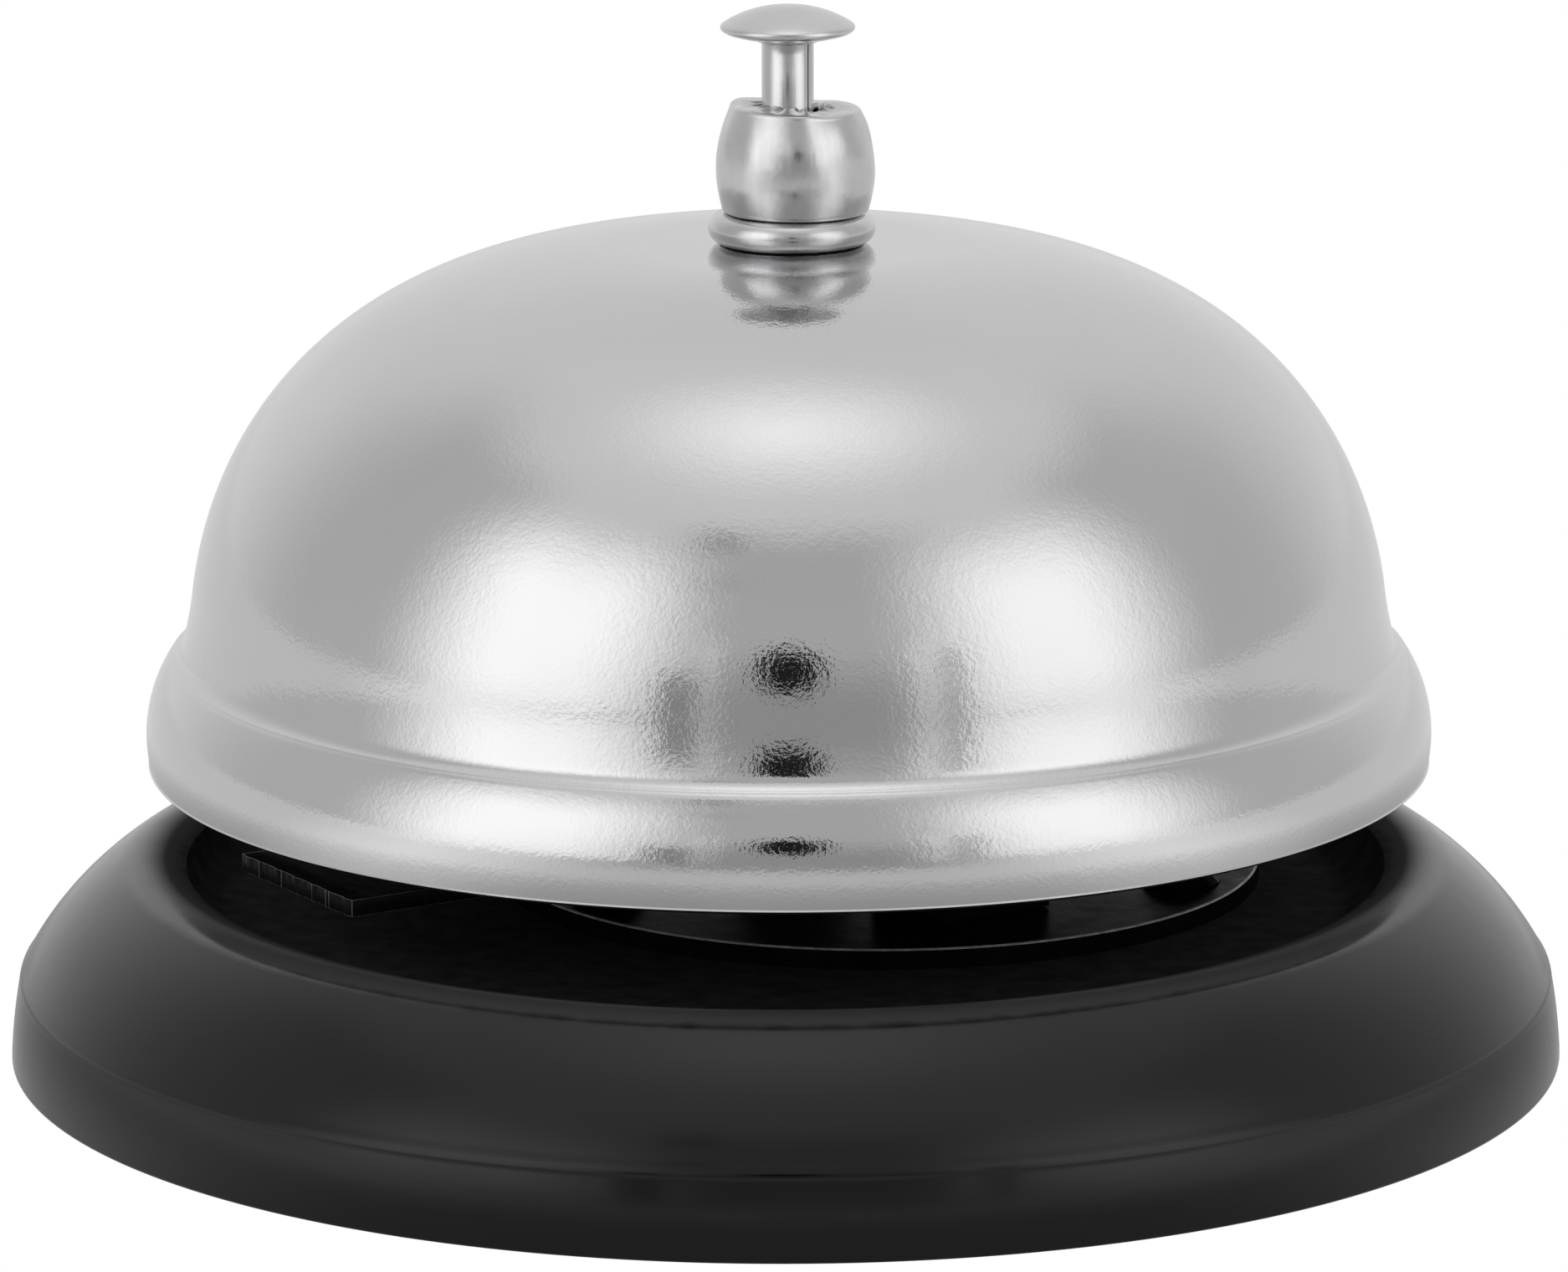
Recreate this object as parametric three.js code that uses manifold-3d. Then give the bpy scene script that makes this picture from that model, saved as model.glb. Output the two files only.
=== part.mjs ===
// Counter service bell: a pressed dish, a clamped bell dome and a push-button striker.
// Millimetres, +Z up. The origin is the centre of the underside; the striker points to HAMMER_AZIMUTH.
// The post, the bell and the mechanism stand a hair off the dish's centre, at POST_OFFSET.
import * as THREE from 'three';
import { mergeVertices } from 'three/addons/utils/BufferGeometryUtils.js';
import Module from 'manifold-3d';

const wasm = await Module();
wasm.setup();

// ---- driving dimensions -------------------------------------------------------------------
const ROUND = 36;                 // facets on the large turned pieces
const SMALL_ROUND = 20;           // facets on the small turned pieces
const HAMMER_AZIMUTH = 212;       // degrees from +X
const FIT_GAP = 0.05;             // between flat faces that rest on each other
const SHEET = 0.9;                // pressed steel sheet
const POST_OFFSET = 0.2;          // from the dish's centre to the post's axis, along +X

const PAD_TOP = 0.5;
const SKIRT_RADIUS = 42.5;
const SKIRT_DROP = 0.12;          // the skirt's edge hangs over the pad, this far above the counter
const SKIRT_EDGE = 0.45;          // thickness of that edge
const PAD_RADIUS = 41.75;
const CREASE = [42.0, 4.65];      // radius, height of the crease above the skirt
const CROWN_END = [36.3, 10.75];
const ROLL_END = [32.8, 10.7];
const PAN_RADIUS = 30.8;
const PAN_FLOOR = 8.45;

const PLATE_CENTRE = [5.2, 4.6];
const PLATE_RADIUS = 21;
const PLATE_TOP = 9.6;
const PLATE_RIVET_CIRCLE = 17.5;
const PLATE_RIVET_ANGLES = { plate_rivet_rear: 79, plate_rivet_left: 212, plate_rivet_right: 339 };

const BRIDGE_TOP = 26.2;
const BRIDGE_SHEET = 1.1;
const BRIDGE_FRONT = 5;           // the bridge runs from behind the post to just before the pivot
const BRIDGE_BACK = -8;
const LEG_FRONT = -1.3;           // its legs stand back, clear of the hammer
const LEG_TOP = 17.5;
const CHEEK_OUTER = 7.4;
const FOOT_END = 13.7;
const BRIDGE_RIVET = [-4.65, 10.5];

const DOME_TOP = 44.7;
const DOME_HOLE = 2.9;
const DOME_FLAT = 8;
const WAIST = [32.43, 25.8];
const FLARE_START = [33.7, 22.2];
const BELL_RADIUS = 35.0;
const LIP_WIDEST = 17.3;
const LIP_EDGE = [34.4, 16.3];

const POST_RADIUS = 2.5;
const POST_BORE = 1.6;
const POST_TOP = 51.2;

const COLLAR_TOP = 46.4;
const NUT_TOP = 52.2;
const NUT_OFFSET = 0.4;           // the pressed nut sits a little to one side of the stem
const COLLAR_OFFSET = 0.2;

const ROD_RADIUS = 1.4;
const ROD_NECK = 1.1;
const ROD_END = 12.6;
const SLEEVE_BOTTOM = 46;
const BUTTON_RADIUS = 3.62;
const BUTTON_RIM = 56.45;
const BUTTON_TOP = 57.62;
const BUTTON_HUB = 55.75;

const DRIVE_CLIP_TOP = 24.4;
const SEAT_CLIP_TOP = 20.6;
const CLIP_SHEET = 0.6;
const SPRING_TOP = 19.15;
const SPRING_RADIUS = 2.6;
const SPRING_WIRE = 0.3;
const SPRING_TURNS = 6.5;

const PIVOT = [9, 24.3];          // distance from the post axis, height
const PIN_RADIUS = 0.8;
const PIN_HOLE = 1.1;
const HAMMER_WIDTH = 11.9;
const ARM_LEVEL = 21.9;
const FOOT_LEVEL = 13.15;
const FOOT_REACH = 30.9;
const FORK_SLOT = 1.85;

// ---- finishes -----------------------------------------------------------------------------
const finish = (color, roughness, metalness) =>
  new THREE.MeshStandardMaterial({ color, roughness, metalness });
const FINISH = {
  nickel: finish(0xc9c9cb, 0.22, 1),
  steel: finish(0xb4b5b8, 0.35, 1),
  blackPaint: finish(0x0b0b0c, 0.18, 0),
  blackSteel: finish(0x1a1a1b, 0.45, 0.6),
  rubber: finish(0x151515, 0.85, 0),
};

// ---- geometry helpers -----------------------------------------------------------------------
const rad = THREE.MathUtils.degToRad;

// Points of an arc from p to q whose middle stands `sag` to the left of the line from p to q.
function bulge(p, q, sag, steps) {
  const chord = [q[0] - p[0], q[1] - p[1]];
  const length = Math.hypot(...chord);
  const side = [-chord[1] / length, chord[0] / length];
  const radius = (length * length / 4 + sag * sag) / (2 * Math.abs(sag));
  const half = Math.asin(length / 2 / radius);
  const points = [];
  for (let i = 0; i <= steps; i++) {
    const angle = half * (2 * i / steps - 1);
    const along = 0.5 + radius * Math.sin(angle) / length;
    const out = Math.sign(sag) * radius * (Math.cos(angle) - Math.cos(half));
    points.push([p[0] + chord[0] * along + side[0] * out, p[1] + chord[1] * along + side[1] * out]);
  }
  return points;
}

// Moves an outline sideways by `distance`, to the right of its direction of travel.
function offset(points, distance) {
  return points.map((point, i) => {
    const before = points[Math.max(i - 1, 0)];
    const after = points[Math.min(i + 1, points.length - 1)];
    const run = [after[0] - before[0], after[1] - before[1]];
    const length = Math.hypot(...run);
    return [point[0] + run[1] / length * distance, point[1] - run[0] / length * distance];
  });
}

function signedArea(points) {
  return points.reduce((sum, p, i) => {
    const q = points[(i + 1) % points.length];
    return sum + (p[0] * q[1] - q[0] * p[1]) / 2;
  }, 0);
}

// A solid of revolution about Z from a closed outline of [radius, height] points.
function turned(outline, facets = SMALL_ROUND) {
  const ring = signedArea(outline) > 0 ? outline : [...outline].reverse();
  const onAxis = ring.findIndex((p, i) => p[0] === 0 && ring[(i + ring.length - 1) % ring.length][0] === 0);
  const ordered = onAxis < 0 ? [...ring, ring[0]] : [...ring.slice(onAxis), ...ring.slice(0, onAxis)];
  const points = ordered.map(([r, z]) => new THREE.Vector2(r, z));
  return new THREE.LatheGeometry(points, facets).rotateX(Math.PI / 2);
}

// A flat plate from z = bottom up, with an outline in X and Y and round holes [x, y, r].
function plate(outline, bottom, thickness, holes = []) {
  const shape = new THREE.Shape(outline.map(([x, y]) => new THREE.Vector2(x, y)));
  for (const [x, y, r] of holes) {
    shape.holes.push(new THREE.Path().absarc(x, y, r, 0, 2 * Math.PI, true));
  }
  const options = { depth: thickness, bevelEnabled: false, curveSegments: SMALL_ROUND / 2 };
  return new THREE.ExtrudeGeometry(shape, options).translate(0, 0, bottom);
}

// A plate standing in the X-Z plane, between y = from and y = to.
function upright(outline, from, to) {
  return plate(outline.map(([x, z]) => [x, -z]), from, to - from).rotateX(-Math.PI / 2);
}

function circle(radius, facets, centre = [0, 0]) {
  return Array.from({ length: facets }, (_, i) => {
    const angle = 2 * Math.PI * i / facets;
    return [centre[0] + radius * Math.cos(angle), centre[1] + radius * Math.sin(angle)];
  });
}

// A round bar along Z, used as a cutter as well.
function bar(radius, from, to, x = 0, y = 0) {
  return plate(circle(radius, 16, [x, y]), from, to - from);
}

// A round bar along Y through [x, z].
function crossBar(radius, from, to, x, z) {
  return upright(circle(radius, 16, [x, z]), from, to);
}

function toSolid(geometry) {
  const bare = geometry.clone();
  bare.deleteAttribute('normal');
  bare.deleteAttribute('uv');
  const merged = mergeVertices(bare, 1e-4);
  return new wasm.Manifold(new wasm.Mesh({
    numProp: 3,
    vertProperties: new Float32Array(merged.attributes.position.array),
    triVerts: new Uint32Array(merged.index.array),
  }));
}

function toGeometry(solid) {
  const mesh = solid.getMesh();
  const geometry = new THREE.BufferGeometry();
  geometry.setAttribute('position', new THREE.BufferAttribute(mesh.vertProperties, 3));
  geometry.setIndex(new THREE.BufferAttribute(mesh.triVerts, 1));
  const flat = geometry.toNonIndexed();
  flat.computeVertexNormals();
  return flat;
}

function combine(base, added, cutters) {
  let solid = toSolid(base);
  for (const geometry of added) solid = solid.add(toSolid(geometry));
  for (const geometry of cutters) solid = solid.subtract(toSolid(geometry));
  return toGeometry(solid);
}

const bell = new THREE.Group();
const stack = new THREE.Group();
stack.position.x = POST_OFFSET;
bell.add(stack);
const mechanism = new THREE.Group();
mechanism.rotation.z = rad(HAMMER_AZIMUTH);
stack.add(mechanism);

function place(group, name, geometry, material, position = [0, 0, 0]) {
  const mesh = new THREE.Mesh(geometry, material);
  mesh.name = name;
  mesh.position.set(...position);
  group.add(mesh);
}

// ---- base: dish, pad, mechanism plate and rivets ----------------------------------------------
const plateRivets = Object.entries(PLATE_RIVET_ANGLES).map(([name, degrees]) => {
  const x = PLATE_CENTRE[0] + PLATE_RIVET_CIRCLE * Math.cos(rad(degrees));
  const y = PLATE_CENTRE[1] + PLATE_RIVET_CIRCLE * Math.sin(rad(degrees));
  return { name, x, y };
});
const bridgeRivets = [['bridge_rivet_front', 1], ['bridge_rivet_rear', -1]].map(([name, side]) => {
  const [along, across] = [BRIDGE_RIVET[0], side * BRIDGE_RIVET[1]];
  const [cos, sin] = [Math.cos(rad(HAMMER_AZIMUTH)), Math.sin(rad(HAMMER_AZIMUTH))];
  return { name, x: POST_OFFSET + along * cos - across * sin, y: along * sin + across * cos };
});
const RIVET_SHANK = 1.3;
const RIVET_HOLE = 1.6;
const rivetHoles = (from, to) =>
  [...plateRivets, ...bridgeRivets].map(({ x, y }) => bar(RIVET_HOLE, from, to, x, y));

function baseDish() {
  const crown = [
    [SKIRT_RADIUS - 0.1, SKIRT_DROP],
    [SKIRT_RADIUS, SKIRT_DROP + 0.25],
    ...bulge(CREASE, CROWN_END, -0.52, 5),
    ...bulge(CROWN_END, ROLL_END, -0.35, 3).slice(1),
    ...bulge(ROLL_END, [PAN_RADIUS, PAN_FLOOR], 0.3, 3).slice(1),
    [PAN_RADIUS - 1.2, PAN_FLOOR],
  ];
  const inside = offset(crown.slice(2), -SHEET);
  const hemBottom = PAD_TOP + FIT_GAP;
  const hemTop = hemBottom + SHEET;
  const outline = [
    ...crown,
    [0, PAN_FLOOR],
    [0, PAN_FLOOR - SHEET],
    ...inside.reverse(),
    [SKIRT_RADIUS - SHEET, hemTop],
    [SKIRT_RADIUS - 3.6, hemTop],
    [SKIRT_RADIUS - 3.6, hemBottom],
    [SKIRT_RADIUS - SKIRT_EDGE, hemBottom],
    [SKIRT_RADIUS - SKIRT_EDGE, SKIRT_DROP],
  ];
  return combine(turned(outline, ROUND), [], rivetHoles(PAN_FLOOR - 3, PAN_FLOOR + 3));
}
place(bell, 'base_dish', baseDish(), FINISH.blackPaint);

const padOutline = [
  [38.4, 0], [PAD_RADIUS - 0.15, 0], [PAD_RADIUS, 0.15], [PAD_RADIUS, PAD_TOP], [38.4, PAD_TOP],
];
place(bell, 'base_pad', turned(padOutline, ROUND), FINISH.rubber);

const plateBottom = PAN_FLOOR + FIT_GAP;
const plateBlank = plate(circle(PLATE_RADIUS, ROUND, PLATE_CENTRE), plateBottom, PLATE_TOP - plateBottom);
const plateHoles = rivetHoles(plateBottom - 1, PLATE_TOP + 1);
place(bell, 'mechanism_plate', combine(plateBlank, [], plateHoles), FINISH.blackSteel);

function rivet(headSeat) {
  const seat = headSeat + FIT_GAP;
  const tail = PAN_FLOOR - SHEET - FIT_GAP;
  return turned([
    [0, tail - 0.7], [1.7, tail - 0.7], [2.1, tail], [RIVET_SHANK, tail], [RIVET_SHANK, seat], [2.3, seat],
    ...bulge([2.3, seat], [0, seat + 0.9], -0.35, 4).slice(1),
  ], 16);
}
for (const { name, x, y } of plateRivets) {
  place(bell, name, rivet(PLATE_TOP), FINISH.blackSteel, [x, y, 0]);
}
const footTop = PLATE_TOP + FIT_GAP + BRIDGE_SHEET;
for (const { name, x, y } of bridgeRivets) {
  place(bell, name, rivet(footTop), FINISH.blackSteel, [x, y, 0]);
}

// ---- bridge bracket, post and pivot -----------------------------------------------------------
function bridgeBracket() {
  const inner = CHEEK_OUTER - BRIDGE_SHEET;
  const footBottom = PLATE_TOP + FIT_GAP;
  const half = [
    [0, BRIDGE_TOP], [CHEEK_OUTER - 0.8, BRIDGE_TOP], [CHEEK_OUTER, BRIDGE_TOP - 0.8],
    [CHEEK_OUTER, footTop], [FOOT_END, footTop], [FOOT_END, footBottom], [inner, footBottom],
    [inner, BRIDGE_TOP - BRIDGE_SHEET],
  ];
  const section = [...half, ...half.slice(1).reverse().map(([y, z]) => [-y, z])];
  const arch = plate(section, BRIDGE_BACK, BRIDGE_FRONT - BRIDGE_BACK)
    .rotateX(Math.PI / 2).rotateZ(Math.PI / 2);
  const ear = [
    [BRIDGE_FRONT - 1, 18.5], [BRIDGE_FRONT, 18.5], [PIVOT[0] + 2.6, PIVOT[1] - 2],
    ...bulge([PIVOT[0] + 2.6, PIVOT[1] - 2], [PIVOT[0] + 0.8, BRIDGE_TOP + 0.6], -0.9, 4).slice(1),
    [BRIDGE_FRONT + 0.6, BRIDGE_TOP + 0.6], [BRIDGE_FRONT - 1, BRIDGE_TOP - 1],
  ];
  const frontCut = [
    [LEG_FRONT, footBottom - 1], [BRIDGE_FRONT + 1, footBottom - 1], [BRIDGE_FRONT + 1, LEG_TOP + 1],
    [BRIDGE_FRONT, LEG_TOP], [LEG_FRONT + 1.5, LEG_TOP], [LEG_FRONT, LEG_TOP - 1.5],
  ];
  const ears = [upright(ear, inner, CHEEK_OUTER), upright(ear, -CHEEK_OUTER, -inner)];
  const holes = [
    bar(POST_RADIUS + 0.1, BRIDGE_TOP - 4, BRIDGE_TOP + 2),
    crossBar(PIN_HOLE, -20, 20, ...PIVOT),
    bar(RIVET_HOLE, footBottom - 2, footTop + 2, BRIDGE_RIVET[0], BRIDGE_RIVET[1]),
    bar(RIVET_HOLE, footBottom - 2, footTop + 2, BRIDGE_RIVET[0], -BRIDGE_RIVET[1]),
    upright(frontCut, -20, 20),
  ];
  return combine(arch, ears, holes);
}
place(mechanism, 'bridge_bracket', bridgeBracket(), FINISH.blackSteel);

const spigot = POST_RADIUS - 0.3;
const postSeat = BRIDGE_TOP + FIT_GAP;
const underBridge = BRIDGE_TOP - BRIDGE_SHEET - FIT_GAP;
place(stack, 'post_tube', turned([
  [POST_BORE, DRIVE_CLIP_TOP + 0.1], [2.9, DRIVE_CLIP_TOP + 0.1], [3.1, underBridge], [spigot, underBridge],
  [spigot, postSeat], [3.7, postSeat], [3.7, postSeat + 1.8], [3.2, postSeat + 2.3], [POST_RADIUS, postSeat + 2.3],
  [POST_RADIUS, POST_TOP - 0.4], [POST_RADIUS - 0.4, POST_TOP], [POST_BORE, POST_TOP],
]), FINISH.steel);

const pin = turned([
  [0, -8.2], [1.2, -8.2], [1.5, -7.9], [1.5, -CHEEK_OUTER - FIT_GAP], [PIN_RADIUS, -CHEEK_OUTER - FIT_GAP],
  [PIN_RADIUS, 7.9], [PIN_RADIUS - 0.3, 8.2], [0, 8.2],
], 16).rotateX(-Math.PI / 2);
place(mechanism, 'pivot_pin', pin, FINISH.steel, [PIVOT[0], 0, PIVOT[1]]);
const pinRing = turned([[1.0, 0], [1.7, 0], [1.7, 0.5], [1.0, 0.5]], 16).rotateX(-Math.PI / 2);
place(mechanism, 'pin_ring', pinRing, FINISH.steel, [PIVOT[0], CHEEK_OUTER + FIT_GAP, PIVOT[1]]);

// ---- bell dome and the stack that clamps it ---------------------------------------------------
function domeOutside() {
  const shoulder = new THREE.CubicBezierCurve(
    new THREE.Vector2(DOME_FLAT, DOME_TOP), new THREE.Vector2(23.3, DOME_TOP),
    new THREE.Vector2(WAIST[0] - 1.6, WAIST[1] + 10), new THREE.Vector2(...WAIST),
  ).getPoints(9).map(({ x, y }) => [x, y]);
  return [
    [DOME_HOLE, DOME_TOP],
    ...shoulder,
    ...bulge(WAIST, FLARE_START, -0.13, 3).slice(1),
    ...bulge(FLARE_START, [BELL_RADIUS, LIP_WIDEST], 0.44, 4).slice(1),
    ...bulge([BELL_RADIUS, LIP_WIDEST], LIP_EDGE, 0.15, 2).slice(1),
  ];
}
const outside = domeOutside();
const insideWall = offset(outside, SHEET);
place(stack, 'bell_dome', turned([...outside, ...insideWall.reverse()], ROUND), FINISH.nickel);

const underDome = DOME_TOP - SHEET - FIT_GAP;
place(stack, 'support_washer', turned([
  [2.8, underDome - 0.6], [5.2, underDome - 0.6], [5.2, underDome], [2.8, underDome],
]), FINISH.steel);
const hexNut = plate(circle(4.6, 6), underDome - 3.9, 3.2, [[0, 0, 2.8]]);
place(stack, 'support_nut', hexNut, FINISH.steel);

const collarBottom = DOME_TOP + FIT_GAP;
place(stack, 'bell_collar', turned([
  [3.0, collarBottom], ...bulge([3.97, collarBottom], [3.97, COLLAR_TOP], -0.58, 6), [3.0, COLLAR_TOP],
], 24), FINISH.nickel, [COLLAR_OFFSET, 0, 0]);

const NUT_WALL = 0.35;
const nutBottom = COLLAR_TOP + FIT_GAP;
const nutOutside = [
  ...bulge([3.95, nutBottom], [3.52, NUT_TOP - 0.3], -0.56, 8),
  [3.2, NUT_TOP],
  [2.15, NUT_TOP - 0.1],
];
place(stack, 'barrel_nut', turned([
  ...nutOutside, ...offset(nutOutside, -NUT_WALL).reverse(),
], 24), FINISH.nickel, [NUT_OFFSET, 0, 0]);
place(stack, 'nut_insert', turned([
  [2.6, nutBottom + 0.2], [2.95, nutBottom + 0.2], [2.95, nutBottom + 3.4], [2.6, nutBottom + 3.4],
], 16), FINISH.steel);

// ---- plunger: button, rod, sleeve, clips and spring seat --------------------------------------
place(stack, 'plunger_button', turned([
  [ROD_NECK + 0.1, BUTTON_HUB], [1.8, BUTTON_HUB], [1.9, BUTTON_HUB + 0.2], [3.3, BUTTON_RIM - 0.35],
  [BUTTON_RADIUS, BUTTON_RIM - 0.1], [BUTTON_RADIUS - 0.05, BUTTON_RIM + 0.15],
  ...bulge([BUTTON_RADIUS - 0.05, BUTTON_RIM + 0.15], [0, BUTTON_TOP], -0.3, 5).slice(1),
  [0, BUTTON_RIM + 0.15], [ROD_NECK + 0.1, BUTTON_RIM + 0.15],
], 24), FINISH.nickel);

function groove(top) {
  const bottom = top - CLIP_SHEET - FIT_GAP;
  return [[ROD_RADIUS, bottom], [ROD_NECK, bottom], [ROD_NECK, top + FIT_GAP], [ROD_RADIUS, top + FIT_GAP]];
}
place(stack, 'plunger_rod', turned([
  [0, ROD_END], [ROD_RADIUS - 0.4, ROD_END], [ROD_RADIUS, ROD_END + 0.4],
  ...groove(SEAT_CLIP_TOP), ...groove(DRIVE_CLIP_TOP),
  [ROD_RADIUS, SLEEVE_BOTTOM], [ROD_NECK, SLEEVE_BOTTOM],
  [ROD_NECK, BUTTON_RIM + 0.1], [0, BUTTON_RIM + 0.1],
], 16), FINISH.steel);

// A flat ring with a slot cut from its edge to its bore, as a shape in X and Y.
function openRing(inner, outer, slotDegrees, facing) {
  const steps = 24;
  const sweep = 360 - slotDegrees;
  const arc = (radius) => Array.from({ length: steps + 1 }, (_, i) => {
    const angle = rad(facing + slotDegrees / 2 + sweep * i / steps);
    return [radius * Math.cos(angle), radius * Math.sin(angle)];
  });
  return [...arc(outer), ...arc(inner).reverse()];
}
const sleeveWall = openRing(ROD_NECK + 0.05, ROD_RADIUS, 5, -35);
const sleeveBottom = SLEEVE_BOTTOM + FIT_GAP;
const sleeve = plate(sleeveWall, sleeveBottom, BUTTON_HUB - FIT_GAP - sleeveBottom);
place(stack, 'plunger_sleeve', sleeve, FINISH.nickel);

const clipRing = openRing(ROD_NECK + 0.05, 3.0, 70, 0);
const driveClip = plate(clipRing, DRIVE_CLIP_TOP - CLIP_SHEET, CLIP_SHEET);
place(mechanism, 'drive_clip', driveClip, FINISH.steel);
const seatClip = plate(clipRing, SEAT_CLIP_TOP - CLIP_SHEET, CLIP_SHEET);
place(mechanism, 'seat_clip', seatClip, FINISH.steel);
const seatTop = SEAT_CLIP_TOP - CLIP_SHEET - FIT_GAP;
place(stack, 'spring_seat', turned([
  [1.7, SPRING_TOP + FIT_GAP], [3.2, SPRING_TOP + FIT_GAP], [3.2, seatTop], [1.7, seatTop],
]), FINISH.steel);

// ---- return spring: a compression coil with one closed turn at each end -----------------------
class SpringPath extends THREE.Curve {
  getPoint(t) {
    const low = PLATE_TOP + FIT_GAP + SPRING_WIRE;
    const high = SPRING_TOP - SPRING_WIRE;
    const closed = 0.75;
    const turn = t * SPRING_TURNS;
    const openTurns = Math.min(Math.max((turn - 1) / (SPRING_TURNS - 2), 0), 1);
    const endTurns = Math.min(turn, 1) + Math.max(turn - (SPRING_TURNS - 1), 0);
    const z = low + closed * endTurns + (high - low - 2 * closed) * openTurns;
    const angle = 2 * Math.PI * turn;
    return new THREE.Vector3(SPRING_RADIUS * Math.cos(angle), SPRING_RADIUS * Math.sin(angle), z);
  }
}
const wireSection = new THREE.Shape(circle(SPRING_WIRE, 6).map(([x, y]) => new THREE.Vector2(x, y)));
const spring = new THREE.ExtrudeGeometry(wireSection, {
  steps: Math.round(SPRING_TURNS * 14), bevelEnabled: false, extrudePath: new SpringPath(),
});
place(mechanism, 'return_spring', spring, FINISH.steel);

// ---- hammer: a forked sheet lever on the pivot pin --------------------------------------------
function hammerArm() {
  const path = new THREE.Path();
  path.moveTo(-2.0, ARM_LEVEL + 0.1);
  path.quadraticCurveTo(-0.9, ARM_LEVEL + 0.9, 0, ARM_LEVEL + 1.05);
  path.quadraticCurveTo(1.3, ARM_LEVEL + 0.9, 2.3, ARM_LEVEL);
  path.lineTo(10.4, ARM_LEVEL);
  path.quadraticCurveTo(11.8, ARM_LEVEL, 12.7, ARM_LEVEL - 1.2);
  path.lineTo(18.6, FOOT_LEVEL + 1.2);
  path.quadraticCurveTo(19.6, FOOT_LEVEL, 21.2, FOOT_LEVEL);
  path.lineTo(FOOT_REACH, FOOT_LEVEL);
  const middle = path.getPoints(4).map(({ x, y }) => [x, y]);
  const outline = [...offset(middle, SHEET / 2), ...offset(middle, -SHEET / 2).reverse()];
  const half = HAMMER_WIDTH / 2;
  const ear = [
    [PIVOT[0] - 2.4, ARM_LEVEL], [PIVOT[0] + 2.4, ARM_LEVEL], [PIVOT[0] + 2.4, PIVOT[1]],
    ...bulge([PIVOT[0] + 2.4, PIVOT[1]], [PIVOT[0] - 2.4, PIVOT[1]], -2.39, 8).slice(1),
  ];
  const ears = [upright(ear, half - SHEET, half), upright(ear, -half, SHEET - half)];
  const slot = plate([[-8, -FORK_SLOT], [3.2, -FORK_SLOT], [3.2, FORK_SLOT], [-8, FORK_SLOT]], 15, 15);
  return combine(upright(outline, -half, half), ears, [slot, crossBar(PIN_HOLE, -20, 20, ...PIVOT)]);
}
place(mechanism, 'hammer_arm', hammerArm(), FINISH.blackSteel);
const bushEnd = HAMMER_WIDTH / 2 - SHEET - 0.2;
const bush = turned([[PIN_HOLE, -bushEnd], [1.6, -bushEnd], [1.6, bushEnd], [PIN_HOLE, bushEnd]], 16);
place(mechanism, 'hammer_bush', bush.rotateX(-Math.PI / 2), FINISH.steel, [PIVOT[0], 0, PIVOT[1]]);

export default bell;
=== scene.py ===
"""Counter service bell: detailed surfaces, materials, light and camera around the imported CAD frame.

Sizes are in millimetres, as in the CAD, and MM turns them into Blender's metres.
+Z is up and -Y is the front.
"""
import math

import bmesh
import bpy
from mathutils import Matrix, Vector, noise


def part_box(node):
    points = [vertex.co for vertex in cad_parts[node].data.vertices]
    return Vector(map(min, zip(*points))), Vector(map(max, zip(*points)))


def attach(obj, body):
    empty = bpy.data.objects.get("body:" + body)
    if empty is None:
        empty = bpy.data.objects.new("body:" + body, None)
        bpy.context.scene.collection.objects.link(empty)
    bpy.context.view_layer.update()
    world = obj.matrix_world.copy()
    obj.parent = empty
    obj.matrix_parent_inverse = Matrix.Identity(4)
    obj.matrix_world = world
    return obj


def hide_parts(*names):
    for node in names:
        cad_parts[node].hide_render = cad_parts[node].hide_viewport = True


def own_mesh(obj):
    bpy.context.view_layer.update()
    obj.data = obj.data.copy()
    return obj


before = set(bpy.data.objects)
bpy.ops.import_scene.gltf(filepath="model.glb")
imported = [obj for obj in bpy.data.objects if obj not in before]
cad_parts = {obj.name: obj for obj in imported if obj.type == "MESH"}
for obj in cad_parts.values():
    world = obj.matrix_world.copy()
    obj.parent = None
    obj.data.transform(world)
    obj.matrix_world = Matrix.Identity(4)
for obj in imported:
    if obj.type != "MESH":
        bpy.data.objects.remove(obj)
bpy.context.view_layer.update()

MM = 0.001
TURN_STEPS = 224                 # facets on the large turned pieces
SMALL_STEPS = 96                 # facets on the small turned pieces
HAMMER_AZIMUTH = math.radians(212)
SHEET = 0.9                      # the sheet that the dish, the bell and the striker are made of
FIT_GAP = 0.05                   # left between pieces that rest on each other
POST = (0.2, 0)                  # the post's axis, a hair off the dish's centre

# ---- sizes of the base, which its paint follows too -------------------------------------------
PAD_TOP = 0.5
PAD_RADIUS = 41.75
PAD_BORE = 38.4
SKIRT_RADIUS = 42.5
SKIRT_DROP = 0.12                # the skirt's edge hangs over the pad, this far above the counter
SKIRT_EDGE = 0.45
HEM_WIDTH = 3.6                  # the hem turned in under the skirt
CREASE = (42.0, 4.65)            # a point is (distance from the axis, height)
CROWN_END = (36.3, 10.75)
ROLL_END = (32.8, 10.7)          # the rounded rim between the crown and the pan ends here
PAN_RADIUS = 30.8
PAN_FLOOR = 8.45
PLATE_TOP = 9.6                  # the mechanism plate lies on the pan's floor

# ---- the camera: 454 mm in front of the bell's axis, 126 mm up, looking slightly down ---------
CAMERA_PLACE = (-0.058, -454.0, 125.6)
CAMERA_PITCH = 0.2224
CAMERA_ROLL = -0.0019
CAMERA_LENS = 195.85


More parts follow.
